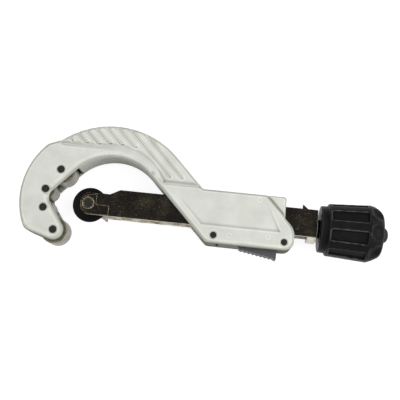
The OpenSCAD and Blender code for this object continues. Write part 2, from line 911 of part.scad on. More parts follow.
module feed_screw() {
    color(steel_colour)
        union() {
            axial(thread_x - tip_len, core_r, shoulder_x - thread_x + tip_len);
            translate([0, -screw_drop, 0])
                thread_ridge(thread_x, thread_len, 0, core_r - thread_depth / 2);
            axial(shoulder_x - tip_len, journal_d / 2, knob_x - shoulder_x + tip_len);
            intersection() {
                axial(knob_x - tip_len, journal_d / 2, drive_end - knob_x + tip_len);
                translate([knob_x - tip_len, drive_flat - journal_d / 2 - screw_drop, -journal_d])
                    cube([knob_len + knob_len, journal_d - drive_flat - drive_flat,
                        journal_d + journal_d]);
            }
            axial(drive_end - tip_len, stud_d / 2, stud_end - drive_end + tip_len);
        }
}

module flat_ring(x, r, bore_r, t) {
    difference() {
        axial(x, r, t);
        axial(x - over, bore_r, t + over + over);
    }
}

module thrust_washer() {
    color(steel_colour)
        flat_ring(slide_end + side_play, washer_r, journal_d / 2 + pin_play, washer_t);
}

module nut_washer() {
    color(steel_colour)
        flat_ring(knob_end, nut_washer_r, stud_d / 2 + pin_play, nut_washer_t);
}

module knob_nut() {
    x = knob_end + nut_washer_t;
    color(black_colour)
        difference() {
            translate([x, -screw_drop, 0])
                rotate([0, 90, 0])
                    rotate_extrude()
                        polygon(concat(
                            [[0, 0], [nut_r, 0], [nut_r, nut_h / 4]],
                            [for (a = [15:15:75])
                                [nut_r * cos(a), nut_h / 4 + nut_h * 3 / 4 * sin(a)]],
                            [[0, nut_h]]
                        ));
            axial(x - over, stud_d / 2 + pin_play, stud_end - x + pin_play + over);
        }
}

// The knob: a turned form with grooves along it and scallops on its end
module knob_body() {
    translate([knob_x, 0, 0])
        rotate([0, 90, 0])
            rotate_extrude()
                polygon([
                    [0, 0],
                    [boss_r, 0],
                    [boss_r, rim_x - knob_x],
                    [collar_d / 2 - corner_r, rim_x - knob_x],
                    [collar_d / 2, rim_x - knob_x + corner_r],
                    [collar_d / 2 + waist, body_x - round_x - knob_x],
                    [body_r - corner_r / 2, body_x - knob_x],
                    [body_r, body_x + corner_r - knob_x],
                    for (p = chamfer_shares)
                        [end_r + (knob_d / 2 - end_r) * p[1], chamfer_x + chamfer_len * p[0] - knob_x],
                    [0, knob_end - knob_x]
                ]);
}

// A channel's outline, wider towards the knob's end as the body is
module flute(index) {
    rise = (knob_d / 2 - body_r) / (chamfer_x - body_x);
    half_start = body_r * sin(flute_angle / 2);
    half_stop = knob_d / 2 * sin(flute_angle / 2);
    shape = [
        [flute_round, flute_round - half_start, flute_round],
        [flute_stop - flute_start - flute_round, flute_round - half_stop, flute_round],
        [flute_stop - flute_start - flute_round, half_stop - flute_round, flute_round],
        [flute_round, half_start - flute_round, flute_round]
    ];
    rotate([-flute_phase - index * 360 / flute_count, 0, 0])
        translate([flute_start, 0, body_r - flute_depth + rise * (flute_start - body_x)])
            rotate([0, -atan(rise), 0])
                linear_extrude(flute_depth + over)
                    polygon(chain_outline(shape));
}

module scallop(index) {
    cut_r = (scallop_w * scallop_w / 4 + scallop_depth * scallop_depth)
        / (scallop_depth + scallop_depth);
    lean = atan2(chamfer_len, knob_d / 2 - end_r);
    mid_r = end_r + (knob_d / 2 - end_r) * scallop_share;
    rotate([-scallop_phase - index * 360 / scallop_count, 0, 0])
        translate([scallop_mid_x, 0, mid_r])
            rotate([0, 90 - lean, 0])
                translate([0, 0, cut_r - scallop_depth])
                    sphere(r = cut_r);
}

module knob() {
    color(plastic_colour)
        difference() {
            translate([0, -screw_drop, 0])
                difference() {
                    knob_body();
                    for (i = [0:flute_count - 1])
                        flute(i);
                    for (i = [0:scallop_count - 1])
                        scallop(i);
                }
            intersection() {
                axial(knob_x - over, journal_d / 2 + pin_play, knob_len + boss_t + over + over);
                translate([knob_x - over - over,
                    drive_flat - journal_d / 2 - pin_play - screw_drop, -journal_d])
                    cube([drive_end - knob_x + over + over + over,
                        journal_d - drive_flat - drive_flat + pin_play + pin_play,
                        journal_d + journal_d]);
            }
            axial(drive_end - over, stud_d / 2 + pin_play, knob_end - drive_end + over + over);
        }
}

// The lever's outline from the hub backwards, with its teeth
wedge_end_x = lever_end - lever_round;
tooth_pitch = (lever_end - wedge_x) / tooth_count;
function wedge_low(x) = -wedge_y - (lever_tip - tooth_h - wedge_y) * (x - wedge_x) / (lever_end - wedge_x);
lever_back = concat(
    [
        [pivot_x, hub_r - pivot_y],
        [pivot_x, -pivot_y],
        [floor_end + floor_gap, -lever_low_y + lever_round],
        [floor_end + floor_gap + lever_round, -lever_low_y],
        [lever_step_x, -lever_low_y]
    ],
    [
        for (k = [0:tooth_count - 1])
            let (x = wedge_x + k * tooth_pitch)
            for (p = [[x, wedge_low(x)], [x + tooth_pitch * 0.55, wedge_low(x) - tooth_h]]) p
    ],
    [[lever_end, -lever_tip], [lever_end, -lever_rear_top]]
);
lever_front = [
    [pivot_x, hub_r - pivot_y],
    [nut_x + nut_len + lever_round, -lever_seat_y],
    [lever_front_x, -lever_seat_y],
    [lever_front_x - lever_round / 2, -lever_seat_y - lever_round],
    [lever_front_x - lever_round / 2, -lever_nose_y],
    [nut_x + nut_len, -lever_nose_y - lever_round / 2],
    [pivot_x - hub_r - lever_round, -pivot_y],
    [pivot_x - hub_r * cos(30), -pivot_y - hub_r * sin(30)],
    [pivot_x, -pivot_y]
];

module thumb_lever() {
    color(lever_colour)
        difference() {
            union() {
                translate([0, 0, -lever_w / 2]) {
                    linear_extrude(lever_w)
                        polygon(lever_back);
                    linear_extrude(lever_w)
                        polygon(lever_front);
                    translate([pivot_x, -pivot_y, 0])
                        cylinder(r = hub_r, h = lever_w);
                }
            }
            cross_bore([pivot_x, -pivot_y], lever_pin_d / 2 + pin_play);
            translate([pivot_x, -pivot_y, -spring_slot_half])
                cylinder(r = spring_slot_r, h = spring_slot_half + spring_slot_half);
            translate([nut_x + nut_len / 2, -lever_seat_y - nut_peg_len - pin_play, 0])
                rotate([-90, 0, 0])
                    cylinder(r = nut_peg_r + pin_play, h = nut_peg_len + over);
        }
}

module half_nut() {
    x = nut_x;
    color(brass_colour)
        difference() {
            union() {
                translate([x, -lever_seat_y, -nut_w / 2])
                    cube([nut_len, lever_seat_y - nut_top_y, nut_w]);
                translate([x + nut_len / 2, -lever_seat_y - nut_peg_len, 0])
                    rotate([-90, 0, 0])
                        cylinder(r = nut_peg_r, h = nut_peg_len + over);
            }
            axial(x - over, core_r + thread_play, nut_len + over + over);
            translate([0, -screw_drop, 0])
                thread_ridge(thread_x + screw_pitch * floor((x - thread_x) / screw_pitch - 1),
                    nut_len + screw_pitch * 3, thread_play, core_r - thread_depth / 2);
        }
}

// A torsion spring whose legs push the lever's front arm up from the frame's floor
coil_start = -coil_turns * coil_pitch / 2;
leg_len = 2.8;
foot_len = 2.2;
spring_path = concat(
    [[pivot_x - foot_len, floor_t + wire_d / 2 + pin_play - handle_bottom, coil_start]],
    [
        for (i = [0:coil_turns * coil_steps])
            let (a = 270 + 360 * i / coil_steps)
            [pivot_x + coil_r * cos(a), -pivot_y + coil_r * sin(a),
                coil_start + coil_pitch * i / coil_steps]
    ],
    [[pivot_x - leg_len, -pivot_y + coil_r, -coil_start]]
);

function unit(v) = v / norm(v);
function along(path, i) = unit(path[min(i + 1, len(path) - 1)] - path[max(i - 1, 0)]);

module wire(path, d) {
    up = [0, 0, 1];
    rings = [
        for (i = [0:len(path) - 1])
            let (t = along(path, i), side = unit(cross(up, t)), top = cross(t, side))
            [for (k = [0:wire_sides - 1])
                let (a = 360 * k / wire_sides)
                path[i] + d / 2 * (side * cos(a) + top * sin(a))]
    ];
    n = wire_sides;
    points = [for (ring = rings) for (p = ring) p];
    walls = [
        for (k = [0:len(path) - 2]) for (i = [0:n - 1])
            let (a = k * n + i, b = k * n + (i + 1) % n)
            for (face = [[a, a + n, b + n], [a, b + n, b]]) face
    ];
    start = [for (i = [0:n - 1]) i];
    finish = [for (i = [0:n - 1]) len(path) * n - 1 - i];
    polyhedron(points, concat(walls, [start], [finish]));
}

module lever_spring() {
    color(steel_colour)
        wire(spring_path, wire_d);
}

frame();
upper_outer_pin();
upper_inner_pin();
lower_inner_pin();
lower_outer_pin();
upper_outer_roller();
upper_inner_roller();
lower_inner_roller();
lower_outer_roller();
slide_channel();
pin_keeper();
wheel_pin();
wheel_spacers();
cutting_wheel();
screw_saddle();
bearing_block();
block_rivets();
feed_screw();
thrust_washer();
knob();
nut_washer();
knob_nut();
thumb_lever();
half_nut();
lever_pivot_pin();
rear_cheek_pin();
lever_spring();
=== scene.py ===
import bmesh
import bpy
import json
import math
import numpy as np
from mathutils import Matrix, Vector

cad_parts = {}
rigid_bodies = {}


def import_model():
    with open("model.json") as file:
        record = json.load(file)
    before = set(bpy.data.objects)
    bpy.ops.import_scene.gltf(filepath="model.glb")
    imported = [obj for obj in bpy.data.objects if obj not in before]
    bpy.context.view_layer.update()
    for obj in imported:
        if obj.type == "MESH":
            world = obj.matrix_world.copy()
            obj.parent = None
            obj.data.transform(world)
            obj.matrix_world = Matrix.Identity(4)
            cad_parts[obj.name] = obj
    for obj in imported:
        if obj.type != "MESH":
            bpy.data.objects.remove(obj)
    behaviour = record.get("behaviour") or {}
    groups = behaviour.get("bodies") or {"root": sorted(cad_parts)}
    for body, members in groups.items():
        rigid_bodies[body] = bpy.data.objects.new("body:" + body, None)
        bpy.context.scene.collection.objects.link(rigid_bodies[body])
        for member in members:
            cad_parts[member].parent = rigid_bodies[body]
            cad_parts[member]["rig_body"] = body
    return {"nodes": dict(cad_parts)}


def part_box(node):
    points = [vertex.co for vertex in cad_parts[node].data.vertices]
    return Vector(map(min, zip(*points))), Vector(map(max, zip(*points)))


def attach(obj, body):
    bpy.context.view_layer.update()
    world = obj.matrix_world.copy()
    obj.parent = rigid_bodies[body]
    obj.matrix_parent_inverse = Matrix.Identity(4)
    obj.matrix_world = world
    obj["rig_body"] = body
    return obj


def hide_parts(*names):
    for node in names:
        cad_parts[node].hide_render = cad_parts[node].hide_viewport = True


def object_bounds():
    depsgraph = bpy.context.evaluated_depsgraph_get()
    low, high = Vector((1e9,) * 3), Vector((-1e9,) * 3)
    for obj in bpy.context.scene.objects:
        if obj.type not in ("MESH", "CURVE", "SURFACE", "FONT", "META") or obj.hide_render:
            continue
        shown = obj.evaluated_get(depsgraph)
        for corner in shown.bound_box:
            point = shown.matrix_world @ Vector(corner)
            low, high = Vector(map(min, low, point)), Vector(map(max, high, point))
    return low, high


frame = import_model()
cad_low, cad_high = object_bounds()


# Frame

# The hook, the grip and the hollow handle are one aluminium casting. The die leaves every edge
# rounded and a faint seam round the middle, and a coat of pale grey powder paint covers it all.
# Sizes are in metres, and those of a finish's pattern, which end in MM, are in millimetres.

MM_PER_M = 1000
JOIN_WITHIN = 0.000002
FLAT_FACE = 0.9

CAST_GRID = 0.0006
CAST_ROUNDS, CAST_ROUNDING = 3, 0.5
HOLLOW_SPREAD, HOLLOW_FULL = 2, 0.00003

SEAM_HALF, SEAM_LIFT, SEAM_WALL = 0.0006, 0.00014, 0.2
EJECTOR_MARKS = ((0.10106, -0.01542), (0.13234, -0.01339), (0.12312, 0.01599))
MARK_RADIUS, MARK_LIP, MARK_LIFT = 0.0018, 0.0007, 0.00009

SHADE_TOP, SHADE_FADE, WALL_FADE = -0.013, 0.006, 1.6
SHADE_WITHIN, WITHIN_FADE = 0.0132, 0.0006

CLOUD_MM, WAVE_MM, PEEL_MM = 16, 11, 1.8
WAVE_DEPTH, PEEL_DEPTH, SHADE_REACH = 0.00025, 0.00004, 0.016


# Colours are written as a screen shows them, and shaders want linear light.
def colour(text):
    parts = [int(text[i:i + 2], 16) / 255 for i in (1, 3, 5)]
    linear = [c / 12.92 if c <= 0.04045 else ((c + 0.055) / 1.055) ** 2.4 for c in parts]
    return (*linear, 1.0)


# Sets a node's inputs. One that is given another node takes that node's first output in use.
def connect(made, node, inputs):
    for socket, value in inputs.items():
        if isinstance(value, bpy.types.Node):
            value = next(output for output in value.outputs if output.enabled)
        if isinstance(value, bpy.types.NodeSocket):
            made.node_tree.links.new(value, node.inputs[socket])
        else:
            node.inputs[socket].default_value = value


# Adds a node with its inputs and settings. A ramp's stops are places from 0 to 1 with their colours.
def add(made, kind, inputs, stops=(), **settings):
    node = made.node_tree.nodes.new("ShaderNode" + kind)
    for field, value in settings.items():
        setattr(node, field, value)
    for place, tint in stops[2:]:
        node.color_ramp.elements.new(place)
    for number, (place, tint) in enumerate(stops):
        node.color_ramp.elements[number].position = place
        node.color_ramp.elements[number].color = colour(tint)
    connect(made, node, inputs)
    return node


# A finish starts with its shader's fixed values, and with places on the piece in millimetres.
def start_finish(name, fixed):
    made = bpy.data.materials.new(name)
    made.use_nodes = True
    shader = made.node_tree.nodes["Principled BSDF"]
    connect(made, shader, fixed)
    spot = add(made, "TexCoord", {})
    in_mm = add(made, "VectorMath", {0: spot.outputs["Object"], 1: (MM_PER_M,) * 3}, operation="MULTIPLY")
    return made, shader, in_mm


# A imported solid's faces come apart, so their shared points are joined, in a new mesh.
def joined_mesh(node, name):
    shape = bmesh.new()
    shape.from_mesh(frame["nodes"][node].data)
    bmesh.ops.remove_doubles(shape, verts=shape.verts, dist=JOIN_WITHIN)
    mesh = bpy.data.meshes.new(name)
    shape.to_mesh(mesh)
    shape.free()
    return mesh


# Works a piece's modifiers into its mesh.
def settle(piece):
    bpy.context.view_layer.update()
    seen = piece.evaluated_get(bpy.context.evaluated_depsgraph_get())
    mesh = bpy.data.meshes.new_from_object(seen)
    piece.modifiers.clear()
    piece.data = mesh
    return mesh


# Puts a piece on its body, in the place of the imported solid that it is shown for.
def stand_for(piece, node):
    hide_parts(node)
    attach(piece, frame["nodes"][node]["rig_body"])


# A cast or moulded piece has no sharp edge: its solid is rebuilt on a fine grid and smoothed a little.
def cast_copy(node, name, grid):
    piece = bpy.data.objects.new(name, joined_mesh(node, name))
    bpy.context.scene.collection.objects.link(piece)
    regrid = piece.modifiers.new("regrid", "REMESH")
    regrid.mode = "VOXEL"
    regrid.voxel_size = grid
    rounding = piece.modifiers.new("rounding", "SMOOTH")
    rounding.factor = CAST_ROUNDING
    rounding.iterations = CAST_ROUNDS
    mesh = settle(piece)
    mesh.shade_smooth()
    return piece, mesh


# Reads the places or the normals of a mesh's points, a row for each.
def read_points(mesh, field):
    values = np.empty(len(mesh.vertices) * 3, np.float32)
    mesh.vertices.foreach_get(field, values)
    return values.reshape(-1, 3)


# Gives each point a number that the finish reads by its name.
def mark_points(mesh, name, values):
    mesh.attributes.new(name, "FLOAT", "POINT").data.foreach_set("value", values.astype(np.float32))


# Where the surface bends inwards, paint pools and dirt stays, and painted shade is added there;
# where it bends outwards a painted highlight is added. Each point's distance from the middle of its
# neighbours, spread over a few of them, says which it is.
def hollows(mesh, points, facing):
    ends = np.empty(len(mesh.edges) * 2, np.int32)
    mesh.edges.foreach_get("vertices", ends)
    first, second = ends[0::2], ends[1::2]
    count = len(points)
    near = np.maximum(np.bincount(first, minlength=count) + np.bincount(second, minlength=count), 1)

    def neighbour_mean(values):
        total = np.bincount(first, values[second], count) + np.bincount(second, values[first], count)
        return total / near

    middle = np.stack([neighbour_mean(points[:, axis]) for axis in range(3)], 1)
    hollow = ((middle - points) * facing).sum(1)
    for spread in range(HOLLOW_SPREAD):
        hollow = neighbour_mean(hollow)
    return hollow / HOLLOW_FULL


# The seam stands on the walls in the middle plane, and the ejector pins leave low rings on the front.
casting, mesh = cast_copy("frame", "frame_casting", CAST_GRID)
points, facing = read_points(mesh, "co"), read_points(mesh, "normal")
wall = np.abs(facing[:, 2]) < SEAM_WALL
rise = SEAM_LIFT * np.clip(1 - np.abs(points[:, 2]) / SEAM_HALF, 0, 1) * wall
points[:, :2] += facing[:, :2] * rise[:, None]
for mark_x, mark_y in EJECTOR_MARKS:
    away = np.hypot(points[:, 0] - mark_x, points[:, 1] - mark_y)
    lip = np.clip(1 - np.abs(away - MARK_RADIUS) / MARK_LIP, 0, 1)
    points[:, 2] += MARK_LIFT * lip * (facing[:, 2] > FLAT_FACE)
points = np.clip(points, cad_low, cad_high)
mesh.vertices.foreach_set("co", points.ravel())
mesh.update()
mark_points(mesh, "hollow", hollows(mesh, points, facing))

# The walls low on the tool, and the hollow between its cheeks there, get painted shade: their paint
# is darkened there.
low_down = np.clip((SHADE_TOP - points[:, 1]) / SHADE_FADE, 0, 1)
upright = np.clip(1 - WALL_FADE * np.abs(facing[:, 2]), 0, 1)
within = np.clip((SHADE_WITHIN - np.abs(points[:, 2])) / WITHIN_FADE, 0, 1)
mark_points(mesh, "low_shade_amount", low_down * np.maximum(upright, within))

# Powder coat on cast aluminium: it melts into a nearly matt skin with a fine orange peel of about
# 2 mm over the long waves of the casting. Its tone clouds a little where it lies thicker, its hollows
# have dirt and painted shade and its rounded edges a painted highlight, the deepest corners get
# painted shade, and the walls low down and between the cheeks get painted shade too.
paint, shader, in_mm = start_finish("powder_coat", {
    "IOR": 1.5, "Roughness": 0.7, "Specular IOR Level": 0.06})
clouds = add(paint, "TexNoise", {"Vector": in_mm, "Scale": 1 / CLOUD_MM, "Detail": 4.0, "Roughness": 0.6})
tone = add(paint, "ValToRGB", {"Fac": clouds}, stops=((0.32, "#c7c9c2"), (0.66, "#d3d4ce")))
peel = add(paint, "TexNoise", {"Vector": in_mm, "Scale": 1 / PEEL_MM, "Detail": 2.0})
peel_bump = add(paint, "Bump", {"Height": peel, "Distance": PEEL_DEPTH})
waves = add(paint, "TexNoise", {"Vector": in_mm, "Scale": 1 / WAVE_MM, "Detail": 1.0})
wave_bump = add(paint, "Bump", {"Height": waves, "Distance": WAVE_DEPTH, "Normal": peel_bump})
hollow_mark = add(paint, "Attribute", {}, attribute_name="hollow")
# Dirt and painted shade make the hollows darker, and a painted highlight makes the rounded edges lighter.
bend_amount = add(paint, "MapRange", {
    "Value": hollow_mark.outputs["Fac"], "From Min": -1.0, "From Max": 1.0, "To Min": -0.25, "To Max": 1.0})
dirt_shade_and_edge_light = add(paint, "ValToRGB", {"Fac": bend_amount},
           stops=((0.0, "#d3d3cc"), (0.22, "#ffffff"), (1.0, "#a5a59d")))
# Painted shade: an occlusion test darkens the corners, slots and recesses where shade falls.
narrow = add(paint, "AmbientOcclusion", {"Distance": SHADE_REACH}, samples=8)
painted_corner_shade = add(paint, "ValToRGB", {"Fac": narrow.outputs["AO"]}, stops=((0.12, "#5c594d"), (0.62, "#ffffff")))
# Painted shade on the low walls and between the cheeks, varied a little with the paint's clouds.
low_shade_mark = add(paint, "Attribute", {}, attribute_name="low_shade_amount")
thick = add(paint, "MapRange", {
    "Value": clouds, "From Min": 0.3, "From Max": 0.6, "To Min": 0.6, "To Max": 1.0})
low_shade_amount = add(paint, "Math", {0: low_shade_mark.outputs["Fac"], 1: thick}, operation="MULTIPLY")
painted_low_shade = add(paint, "ValToRGB", {"Fac": low_shade_amount}, stops=((0.0, "#ffffff"), (1.0, "#8a877b")))
for layer in (dirt_shade_and_edge_light, painted_corner_shade, painted_low_shade):
    tone = add(paint, "Mix", {"Factor": 1.0, "A": tone, "B": layer},
               data_type="RGBA", blend_type="MULTIPLY")
connect(paint, shader, {"Base Color": tone, "Normal": wave_bump})
mesh.materials.clear()
mesh.materials.append(paint)
stand_for(casting, "frame")


# Roller pins and the handle's pins

# Six steel pins cross the frame, pressed in just below its faces and blacked in hot oxide.
# Their sawn ends are broken at the rim and show a little of the saw's and the tumbling's marks.

PIN_EDGE = 0.00025
SHARP_ANGLE = math.radians(34)
OXIDE_MM, OXIDE_DEPTH = 0.9, 0.00005


# A turned, folded, sawn or small moulded piece has crisp edges. They are only broken, and they show
# a finish of their own where one is named.
def crisp_copy(node, name, edge, finish, edge_finish=None):
    piece = bpy.data.objects.new(name, joined_mesh(node, name))
    bpy.context.scene.collection.objects.link(piece)
    piece.data.materials.clear()
    piece.data.materials.append(finish)
    if edge_finish:
        piece.data.materials.append(edge_finish)
    if edge:
        broken = piece.modifiers.new("broken_edges", "BEVEL")
        broken.width = edge
        broken.segments = 2
        broken.limit_method = "ANGLE"
        broken.angle_limit = SHARP_ANGLE
        broken.material = 1 if edge_finish else -1
    piece.data.shade_smooth()
    fair = piece.modifiers.new("fair_shading", "WEIGHTED_NORMAL")
    fair.keep_sharp = True
    stand_for(piece, node)
    return piece


# Black oxide on steel: a thin dark film that is nearly matt, browner where it has rubbed thin.
oxide, shader, in_mm = start_finish("black_oxide", {"Metallic": 0.35, "Specular IOR Level": 0.2})
grain = add(oxide, "TexNoise", {"Vector": in_mm, "Scale": 1 / OXIDE_MM, "Detail": 4.0, "Roughness": 0.7})
tone = add(oxide, "ValToRGB", {"Fac": grain},
           stops=((0.35, "#151512"), (0.62, "#24231e"), (0.75, "#3d3b33")))
rough = add(oxide, "MapRange", {"Value": grain, "To Min": 0.35, "To Max": 0.6})
bump = add(oxide, "Bump", {"Height": grain, "Distance": OXIDE_DEPTH})
connect(oxide, shader, {"Base Color": tone, "Roughness": rough, "Normal": bump})
for node in ("upper_outer_pin", "upper_inner_pin", "lower_inner_pin", "lower_outer_pin",
             "lever_pivot_pin", "rear_cheek_pin"):
    crisp_copy(node, node + "_turned", PIN_EDGE, oxide)


# Rollers

# Two large and two small steel rollers carry the tube. They are turned from bar, so fine rings
# run round them, and they are left bright and have dulled to a soft grey.

ROLLER_EDGE = 0.0005
DULLING_MM, RING_MM, RING_DEPTH = 5, 0.8, 0.00006
DUST_MM = 1.6

# Turned steel: rings about 0.3 mm apart, drawn at 0.8 mm to show, on a satin grey metal.
turned, shader, in_mm = start_finish("turned_steel", {"Metallic": 0.85})
along = add(turned, "SeparateXYZ", {"Vector": in_mm})
ring_place = add(turned, "MapRange", {
    "Value": along.outputs["Z"], "From Min": 0.0, "From Max": 1.0, "To Min": 0.0, "To Max": 1 / RING_MM},
    clamp=False)
rings = add(turned, "TexNoise", {"W": ring_place, "Scale": 1.0, "Detail": 3.0}, noise_dimensions="1D")
dulling = add(turned, "TexNoise", {"Vector": in_mm, "Scale": 1 / DULLING_MM, "Detail": 2.0})
tone = add(turned, "ValToRGB", {"Fac": dulling}, stops=((0.3, "#78736a"), (0.7, "#97938a")))
rough = add(turned, "MapRange", {"Value": rings, "To Min": 0.3, "To Max": 0.6})
bump = add(turned, "Bump", {"Height": rings, "Distance": RING_DEPTH})
connect(turned, shader, {"Base Color": tone, "Roughness": rough, "Normal": bump})

# Greased steel: grease and plastic dust gather between a roller's end and the cheek and dry dark,
# and the same dark colour paints the cheek's shadow on the end.
shaded_greased, shader, in_mm = start_finish("greased_shaded_roller_end", {"Metallic": 0.4, "Roughness": 0.5})
dust = add(shaded_greased, "TexNoise", {"Vector": in_mm, "Scale": 1 / DUST_MM, "Detail": 4.0, "Roughness": 0.7})
tone = add(shaded_greased, "ValToRGB", {"Fac": dust}, stops=((0.35, "#35322a"), (0.65, "#69634f")))
connect(shaded_greased, shader, {"Base Color": tone})
for node in ("upper_outer_roller", "upper_inner_roller", "lower_inner_roller", "lower_outer_roller"):
    roller = crisp_copy(node, node + "_turned", ROLLER_EDGE, turned)
    roller.data.materials.append(shaded_greased)
    # The end faces get the dark greased finish, which is also the cheek's painted shadow.
    for face in roller.data.polygons:
        face.material_index = int(abs(face.normal.z) > FLAT_FACE)


# Slide channel and pin keeper

# The channel is folded from 2 mm steel strip, and the keeper is a small plate let into its front
# flange. Both are zinc plated and passivated black-brown, which is blotchy, dulls the gloss and
# rubs through to pale yellow metal on the sheared edges and inside, where the lever's nut slides.

SHEET_EDGE = 0.0003
CUT_FACING = -0.8
INSIDE_Z = 0.0088
BLOTCH_MM, BLOTCH_DEPTH = 1.1, 0.00005
DRIFT_MM = 14
SPECKS_PER_MM = (0.35, 1.3, 1.3)
RUBS_PER_MM = (0.14, 0.5, 0.5)
SPOT_MM = 1.5

# Black passivated zinc: warm near-black with blotches of about 1 mm that drift in tone over 14 mm,
# and fine pale specks where it is chipped, drawn out along the travel.
passivated, shader, in_mm = start_finish("black_passivated_zinc", {
    "Metallic": 0.55, "Specular IOR Level": 0.15})
blotch = add(passivated, "TexNoise", {
    "Vector": in_mm, "Scale": 1 / BLOTCH_MM, "Detail": 5.0, "Roughness": 0.75})
drift = add(passivated, "TexNoise", {"Vector": in_mm, "Scale": 1 / DRIFT_MM, "Detail": 3.0})
mixed = add(passivated, "Mix", {"Factor": 0.4, "A": blotch, "B": drift})
tone = add(passivated, "ValToRGB", {"Fac": mixed},
           stops=((0.4, "#0c0b09"), (0.52, "#171410"), (0.64, "#363024")))
drawn = add(passivated, "VectorMath", {0: in_mm, 1: SPECKS_PER_MM}, operation="MULTIPLY")
specks = add(passivated, "TexNoise", {"Vector": drawn, "Scale": 1.0, "Detail": 5.0, "Roughness": 0.7})
chipped = add(passivated, "ValToRGB", {"Fac": specks}, stops=((0.6, "#000000"), (0.74, "#ffffff")))
marked = add(passivated, "Mix", {"Factor": chipped, "A": tone, "B": colour("#6c6550")}, data_type="RGBA")
rough = add(passivated, "MapRange", {"Value": blotch, "To Min": 0.28, "To Max": 0.55})
bump = add(passivated, "Bump", {"Height": blotch, "Distance": BLOTCH_DEPTH})
connect(passivated, shader, {"Base Color": marked, "Roughness": rough, "Normal": bump})

# Rubbed zinc: where the passivation is worn off, it leaves soft, pale, slightly yellow metal, with
# marks drawn out along the travel.
rubbed, shader, in_mm = start_finish("rubbed_zinc_edge", {"Metallic": 0.4})
slid = add(rubbed, "VectorMath", {0: in_mm, 1: RUBS_PER_MM}, operation="MULTIPLY")
nicks = add(rubbed, "TexNoise", {"Vector": slid, "Scale": 1.0, "Detail": 3.0, "Roughness": 0.6})
tone = add(rubbed, "ValToRGB", {"Fac": nicks},
           stops=((0.36, "#8a816f"), (0.5, "#ddd5c1"), (0.66, "#f8f5ec")))
rough = add(rubbed, "MapRange", {"Value": nicks, "To Min": 0.45, "To Max": 0.3})
connect(rubbed, shader, {"Base Color": tone, "Roughness": rough})

channel = crisp_copy("slide_channel", "slide_channel_plated", SHEET_EDGE, passivated, rubbed)
for face in channel.data.polygons:
    inside = abs(face.normal.z) > FLAT_FACE and abs(face.center.z) < INSIDE_Z
    if inside or face.normal.y < CUT_FACING:
        face.material_index = 1

# Handled passivate: the keeper's rim is polished through to brown, and in spots to bare zinc.
handled, shader, in_mm = start_finish("handled_passivate", {"Metallic": 0.7, "Roughness": 0.4})
spots = add(handled, "TexNoise", {"Vector": in_mm, "Scale": 1 / SPOT_MM, "Detail": 4.0, "Roughness": 0.7})
tone = add(handled, "ValToRGB", {"Fac": spots},
           stops=((0.38, "#3a3428"), (0.52, "#857a5c"), (0.66, "#dcd2b4")))
connect(handled, shader, {"Base Color": tone})
crisp_copy("pin_keeper", "pin_keeper_plated", SHEET_EDGE / 2, passivated, handled)


# Cutting wheel with its pin and spacers

# The wheel is a hardened steel disc ground to a sharp rim, blued by the heat. It turns on a
# hardened pin between two bright turned spacers that keep it in the middle of the channel.

SPACER_EDGE = 0.0002
GRIND_MM = 0.5
HEAT_FROM_MM, HEAT_TO_MM = 11.0, 14.5

# Blued tool steel: blue-black and smooth, and paler at the rim. Its fine grinding rings round the
# pin are drawn at 0.5 mm to show.
blued, shader, in_mm = start_finish("blued_tool_steel", {"Metallic": 0.6, "Specular IOR Level": 0.1})
wheel_low, wheel_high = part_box("cutting_wheel")
hub_mm = (wheel_low + wheel_high) / 2 * MM_PER_M
from_hub = add(blued, "VectorMath", {0: in_mm, 1: hub_mm}, operation="SUBTRACT")
flat = add(blued, "VectorMath", {0: from_hub, 1: (1, 1, 0)}, operation="MULTIPLY")
out = add(blued, "VectorMath", {0: flat}, operation="LENGTH")
grinding = add(blued, "TexNoise", {"W": out, "Scale": 1 / GRIND_MM, "Detail": 2.0}, noise_dimensions="1D")
heat = add(blued, "MapRange", {"Value": out, "From Min": HEAT_FROM_MM, "From Max": HEAT_TO_MM})
tone = add(blued, "ValToRGB", {"Fac": heat}, stops=((0.0, "#08090a"), (0.6, "#0b0c0f"), (1.0, "#1d1f25")))
rough = add(blued, "MapRange", {"Value": grinding, "To Min": 0.28, "To Max": 0.5})
connect(blued, shader, {"Base Color": tone, "Roughness": rough})
crisp_copy("cutting_wheel", "cutting_wheel_ground", None, blued)
crisp_copy("wheel_pin", "wheel_pin_turned", SPACER_EDGE, oxide)
crisp_copy("wheel_spacers", "wheel_spacers_turned", SPACER_EDGE, turned)


# Screw saddle, bearing block and rivet

# The saddle steadies the feed screw's front end, and the block at the channel's rear end holds its
# journal. Both are sawn from drawn bar and zinc plated bright. A black rivet through both flanges
# holds the block.

BLOCK_EDGE = 0.0005
RIVET_EDGE = 0.0003
ZINC_MM, ZINC_DEPTH = 2.5, 0.00004

# Bright zinc on drawn steel: pale and a little yellow, satin, with cloudy spots from handling.
zinc, shader, in_mm = start_finish("bright_zinc", {"Metallic": 0.9})
cloud = add(zinc, "TexNoise", {"Vector": in_mm, "Scale": 1 / ZINC_MM, "Detail": 5.0, "Roughness": 0.65})
tone = add(zinc, "ValToRGB", {"Fac": cloud}, stops=((0.35, "#a8a294"), (0.65, "#d6d1c3")))
rough = add(zinc, "MapRange", {"Value": cloud, "To Min": 0.25, "To Max": 0.5})
bump = add(zinc, "Bump", {"Height": cloud, "Distance": ZINC_DEPTH})
connect(zinc, shader, {"Base Color": tone, "Roughness": rough, "Normal": bump})
for node in ("screw_saddle", "bearing_block"):
    crisp_copy(node, node + "_plated", BLOCK_EDGE, zinc)
crisp_copy("block_rivets", "block_rivets_plated", RIVET_EDGE, passivated)


# Feed screw and washers

# The screw is rolled from bright bar, with a 3 mm lead, and is greased. The thrust washer runs
# between the block and the knob, and a second washer lies under the nut.

WASHER_EDGE = 0.0002
FILM_MM = 3

